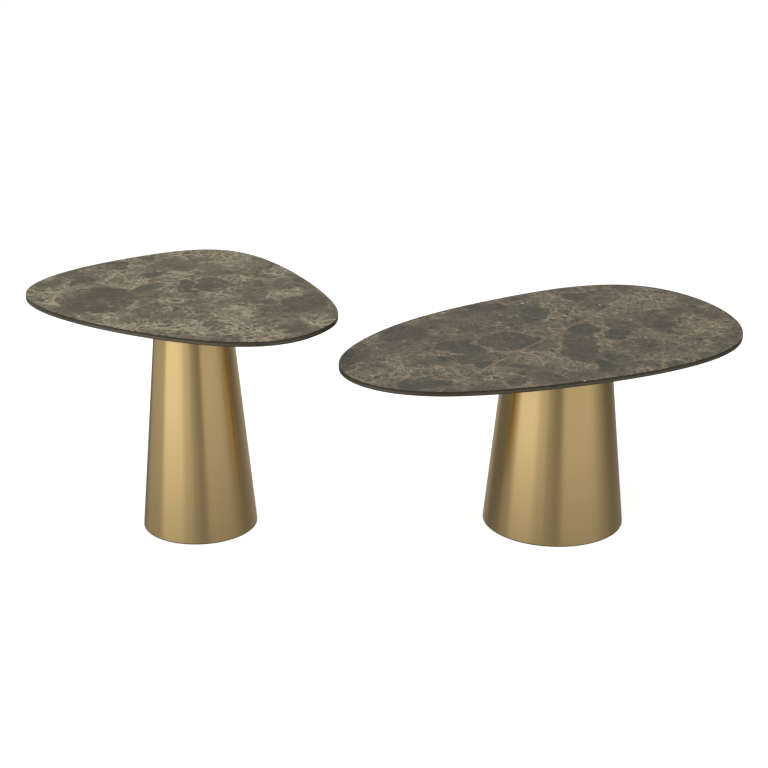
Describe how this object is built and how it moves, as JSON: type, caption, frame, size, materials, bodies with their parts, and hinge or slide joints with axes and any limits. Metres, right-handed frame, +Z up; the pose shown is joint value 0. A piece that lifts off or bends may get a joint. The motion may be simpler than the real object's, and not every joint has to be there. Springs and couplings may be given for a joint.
{
  "type": "nesting tables",
  "caption": "Pair of pedestal tables with pebble-shaped stone-look tops on brushed conical bases; the taller top passes over the lower one.",
  "frame": {"origin": "middle of the set's outline on the floor, with the tables as they stand in the picture", "axes": "+X from the side table to the coffee table, +Y away from the viewer, +Z up"},
  "size_m": [1.454, 0.688, 0.5],
  "materials": {
    "marble_ceramic": "satin dark brown marble figure with beige veins",
    "bond_resin": "dark clear resin",
    "painted_glass": "polished, painted dark behind",
    "brushed_brass": "brushed around the cone",
    "bright_steel": "zinc plated, turned",
    "black_steel": "fine-grained black powder coat",
    "black_rubber": "matt",
    "black_plastic": "matt moulded",
    "nylon": "satin moulded"
  },
  "bodies": {
    "coffee_table": {"coffee_ceramic_sheet": "marble_ceramic", "coffee_bond_film": "bond_resin", "coffee_glass_panel": "painted_glass", "coffee_bonded_discs": "bright_steel", "coffee_mount_plate": "black_steel", "coffee_mount_screws": "bright_steel", "coffee_rod_hub": "bright_steel", "coffee_neck_gasket": "black_rubber", "coffee_cone_shell": "brushed_brass", "coffee_head_plate": "black_steel", "coffee_foot_ring": "black_steel", "coffee_ballast_plate": "black_steel", "coffee_edge_trim": "black_plastic", "coffee_tie_rod": "bright_steel", "coffee_rod_washer": "bright_steel", "coffee_rod_nut": "bright_steel"},
    "side_table": {"side_ceramic_sheet": "marble_ceramic", "side_bond_film": "bond_resin", "side_glass_panel": "painted_glass", "side_bonded_discs": "bright_steel", "side_mount_plate": "black_steel", "side_mount_screws": "bright_steel", "side_rod_hub": "bright_steel", "side_neck_gasket": "black_rubber", "side_cone_shell": "brushed_brass", "side_head_plate": "black_steel", "side_foot_ring": "black_steel", "side_ballast_plate": "black_steel", "side_edge_trim": "black_plastic", "side_tie_rod": "bright_steel", "side_rod_washer": "bright_steel", "side_rod_nut": "bright_steel"},
    "side_pad_1": {"side_foot_pad_1": "nylon"},
    "side_stem_1": {"side_foot_stem_1": "bright_steel"},
    "side_pad_2": {"side_foot_pad_2": "nylon"},
    "side_stem_2": {"side_foot_stem_2": "bright_steel"},
    "side_pad_3": {"side_foot_pad_3": "nylon"},
    "side_stem_3": {"side_foot_stem_3": "bright_steel"},
    "side_pad_4": {"side_foot_pad_4": "nylon"},
    "side_stem_4": {"side_foot_stem_4": "bright_steel"},
    "coffee_pad_1": {"coffee_foot_pad_1": "nylon"},
    "coffee_stem_1": {"coffee_foot_stem_1": "bright_steel"},
    "coffee_pad_2": {"coffee_foot_pad_2": "nylon"},
    "coffee_stem_2": {"coffee_foot_stem_2": "bright_steel"},
    "coffee_pad_3": {"coffee_foot_pad_3": "nylon"},
    "coffee_stem_3": {"coffee_foot_stem_3": "bright_steel"},
    "coffee_pad_4": {"coffee_foot_pad_4": "nylon"},
    "coffee_stem_4": {"coffee_foot_stem_4": "bright_steel"}
  },
  "joints": [
    {"name": "side_table_slide", "type": "slide", "parent": "coffee_table", "child": "side_table", "axis": [1, 0, 0], "range_m": [-0.3, 0.24]},
    {"name": "side_foot_height_1", "type": "slide", "parent": "side_table", "child": "side_pad_1", "axis": [0, 0, -1], "range_m": [0, 0.008]},
    {"name": "side_foot_turn_1", "type": "hinge", "parent": "side_pad_1", "child": "side_stem_1", "pos_m": [-0.45494, 0.03077, 0.004], "axis": [0, 0, -1], "range_deg": [0, 2304]},
    {"name": "side_foot_height_2", "type": "slide", "parent": "side_table", "child": "side_pad_2", "axis": [0, 0, -1], "range_m": [0, 0.008]},
    {"name": "side_foot_turn_2", "type": "hinge", "parent": "side_pad_2", "child": "side_stem_2", "pos_m": [-0.45494, -0.09311, 0.004], "axis": [0, 0, -1], "range_deg": [0, 2304]},
    {"name": "side_foot_height_3", "type": "slide", "parent": "side_table", "child": "side_pad_3", "axis": [0, 0, -1], "range_m": [0, 0.008]},
    {"name": "side_foot_turn_3", "type": "hinge", "parent": "side_pad_3", "child": "side_stem_3", "pos_m": [-0.33106, -0.09311, 0.004], "axis": [0, 0, -1], "range_deg": [0, 2304]},
    {"name": "side_foot_height_4", "type": "slide", "parent": "side_table", "child": "side_pad_4", "axis": [0, 0, -1], "range_m": [0, 0.008]},
    {"name": "side_foot_turn_4", "type": "hinge", "parent": "side_pad_4", "child": "side_stem_4", "pos_m": [-0.33106, 0.03077, 0.004], "axis": [0, 0, -1], "range_deg": [0, 2304]},
    {"name": "coffee_foot_height_1", "type": "slide", "parent": "coffee_table", "child": "coffee_pad_1", "axis": [0, 0, -1], "range_m": [0, 0.008]},
    {"name": "coffee_foot_turn_1", "type": "hinge", "parent": "coffee_pad_1", "child": "coffee_stem_1", "pos_m": [0.26342, 0.06742, 0.004], "axis": [0, 0, -1], "range_deg": [0, 2304]},
    {"name": "coffee_foot_height_2", "type": "slide", "parent": "coffee_table", "child": "coffee_pad_2", "axis": [0, 0, -1], "range_m": [0, 0.008]},
    {"name": "coffee_foot_turn_2", "type": "hinge", "parent": "coffee_pad_2", "child": "coffee_stem_2", "pos_m": [0.26342, -0.09575, 0.004], "axis": [0, 0, -1], "range_deg": [0, 2304]},
    {"name": "coffee_foot_height_3", "type": "slide", "parent": "coffee_table", "child": "coffee_pad_3", "axis": [0, 0, -1], "range_m": [0, 0.008]},
    {"name": "coffee_foot_turn_3", "type": "hinge", "parent": "coffee_pad_3", "child": "coffee_stem_3", "pos_m": [0.42658, -0.09575, 0.004], "axis": [0, 0, -1], "range_deg": [0, 2304]},
    {"name": "coffee_foot_height_4", "type": "slide", "parent": "coffee_table", "child": "coffee_pad_4", "axis": [0, 0, -1], "range_m": [0, 0.008]},
    {"name": "coffee_foot_turn_4", "type": "hinge", "parent": "coffee_pad_4", "child": "coffee_stem_4", "pos_m": [0.42658, 0.06742, 0.004], "axis": [0, 0, -1], "range_deg": [0, 2304]}
  ],
  "couplings": [
    {"joint": "side_foot_height_1", "follows": "side_foot_turn_1", "m_per_rad": 0.00019894},
    {"joint": "side_foot_height_2", "follows": "side_foot_turn_2", "m_per_rad": 0.00019894},
    {"joint": "side_foot_height_3", "follows": "side_foot_turn_3", "m_per_rad": 0.00019894},
    {"joint": "side_foot_height_4", "follows": "side_foot_turn_4", "m_per_rad": 0.00019894},
    {"joint": "coffee_foot_height_1", "follows": "coffee_foot_turn_1", "m_per_rad": 0.00019894},
    {"joint": "coffee_foot_height_2", "follows": "coffee_foot_turn_2", "m_per_rad": 0.00019894},
    {"joint": "coffee_foot_height_3", "follows": "coffee_foot_turn_3", "m_per_rad": 0.00019894},
    {"joint": "coffee_foot_height_4", "follows": "coffee_foot_turn_4", "m_per_rad": 0.00019894}
  ]
}
